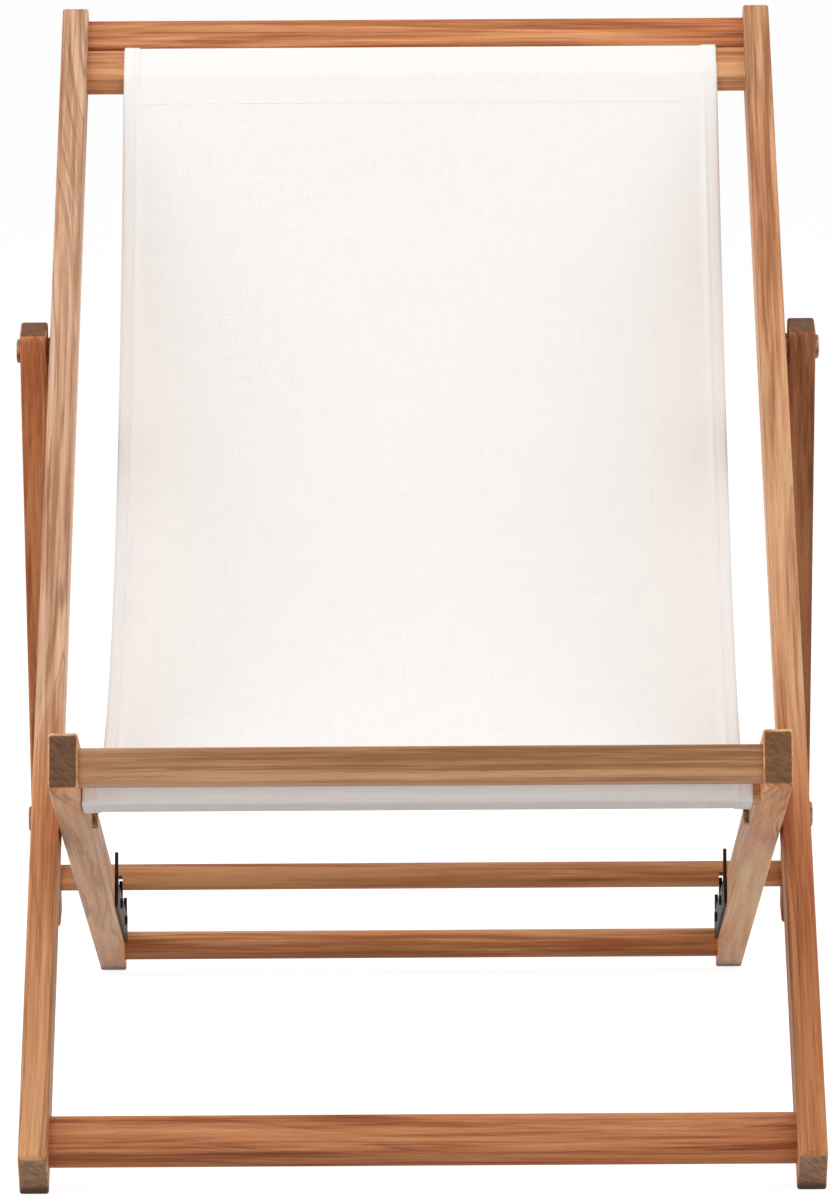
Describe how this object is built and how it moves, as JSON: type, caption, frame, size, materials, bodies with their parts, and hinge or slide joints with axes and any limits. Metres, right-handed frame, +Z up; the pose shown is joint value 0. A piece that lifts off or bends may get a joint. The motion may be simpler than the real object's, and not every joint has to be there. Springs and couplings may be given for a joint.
{
  "type": "folding deck chair",
  "caption": "Folding wooden deck chair: a canvas sling hangs between a long back frame and a seat frame held open by a hinged prop frame in notched metal brackets.",
  "frame": {"origin": "on the floor, in the middle of the chair's width and of the long rails' run", "axes": "+X across the chair to the right seen from the front, +Y from the front feet to the back, +Z up"},
  "size_m": [0.601, 0.9364, 0.7551],
  "materials": {
    "oiled_wood": "oiled hardwood, satin",
    "dark_metal": "dark brown lacquer",
    "bronzed_steel": "dulled bronze plating",
    "canvas": "plain-woven cotton canvas"
  },
  "bodies": {
    "long_frame": {"long_rail_left": "oiled_wood", "long_rail_right": "oiled_wood", "top_crossbar": "oiled_wood", "upper_sling_bar": "oiled_wood", "bottom_crossbar": "oiled_wood", "main_pivot_bolts": "bronzed_steel", "main_pivot_washers": "bronzed_steel", "main_pivot_nuts": "bronzed_steel", "prop_pivot_bolts": "bronzed_steel", "prop_pivot_washers": "bronzed_steel", "prop_pivot_inserts": "bronzed_steel", "sling": "canvas"},
    "seat_frame": {"seat_rail_left": "oiled_wood", "seat_rail_right": "oiled_wood", "front_crossbar": "oiled_wood", "lower_sling_bar": "oiled_wood", "rear_crossbar": "oiled_wood", "notch_bracket_left": "dark_metal", "notch_bracket_right": "dark_metal", "bracket_screws": "dark_metal"},
    "prop_frame": {"prop_rail_left": "oiled_wood", "prop_rail_right": "oiled_wood", "prop_crossbar": "oiled_wood"}
  },
  "joints": [
    {"name": "seat_fold", "type": "hinge", "parent": "long_frame", "child": "seat_frame", "pos_m": [0, -0.19876, 0.21922], "axis": [1, 0, 0], "range_deg": [0, 54], "deforming": ["sling"]},
    {"name": "prop_swing", "type": "hinge", "parent": "long_frame", "child": "prop_frame", "pos_m": [0, 0.17296, 0.5149], "axis": [1, 0, 0], "range_deg": [0, 117.72]}
  ],
  "couplings": [
    {"joint": "prop_swing", "follows": "seat_fold", "ratio": 2.18}
  ]
}
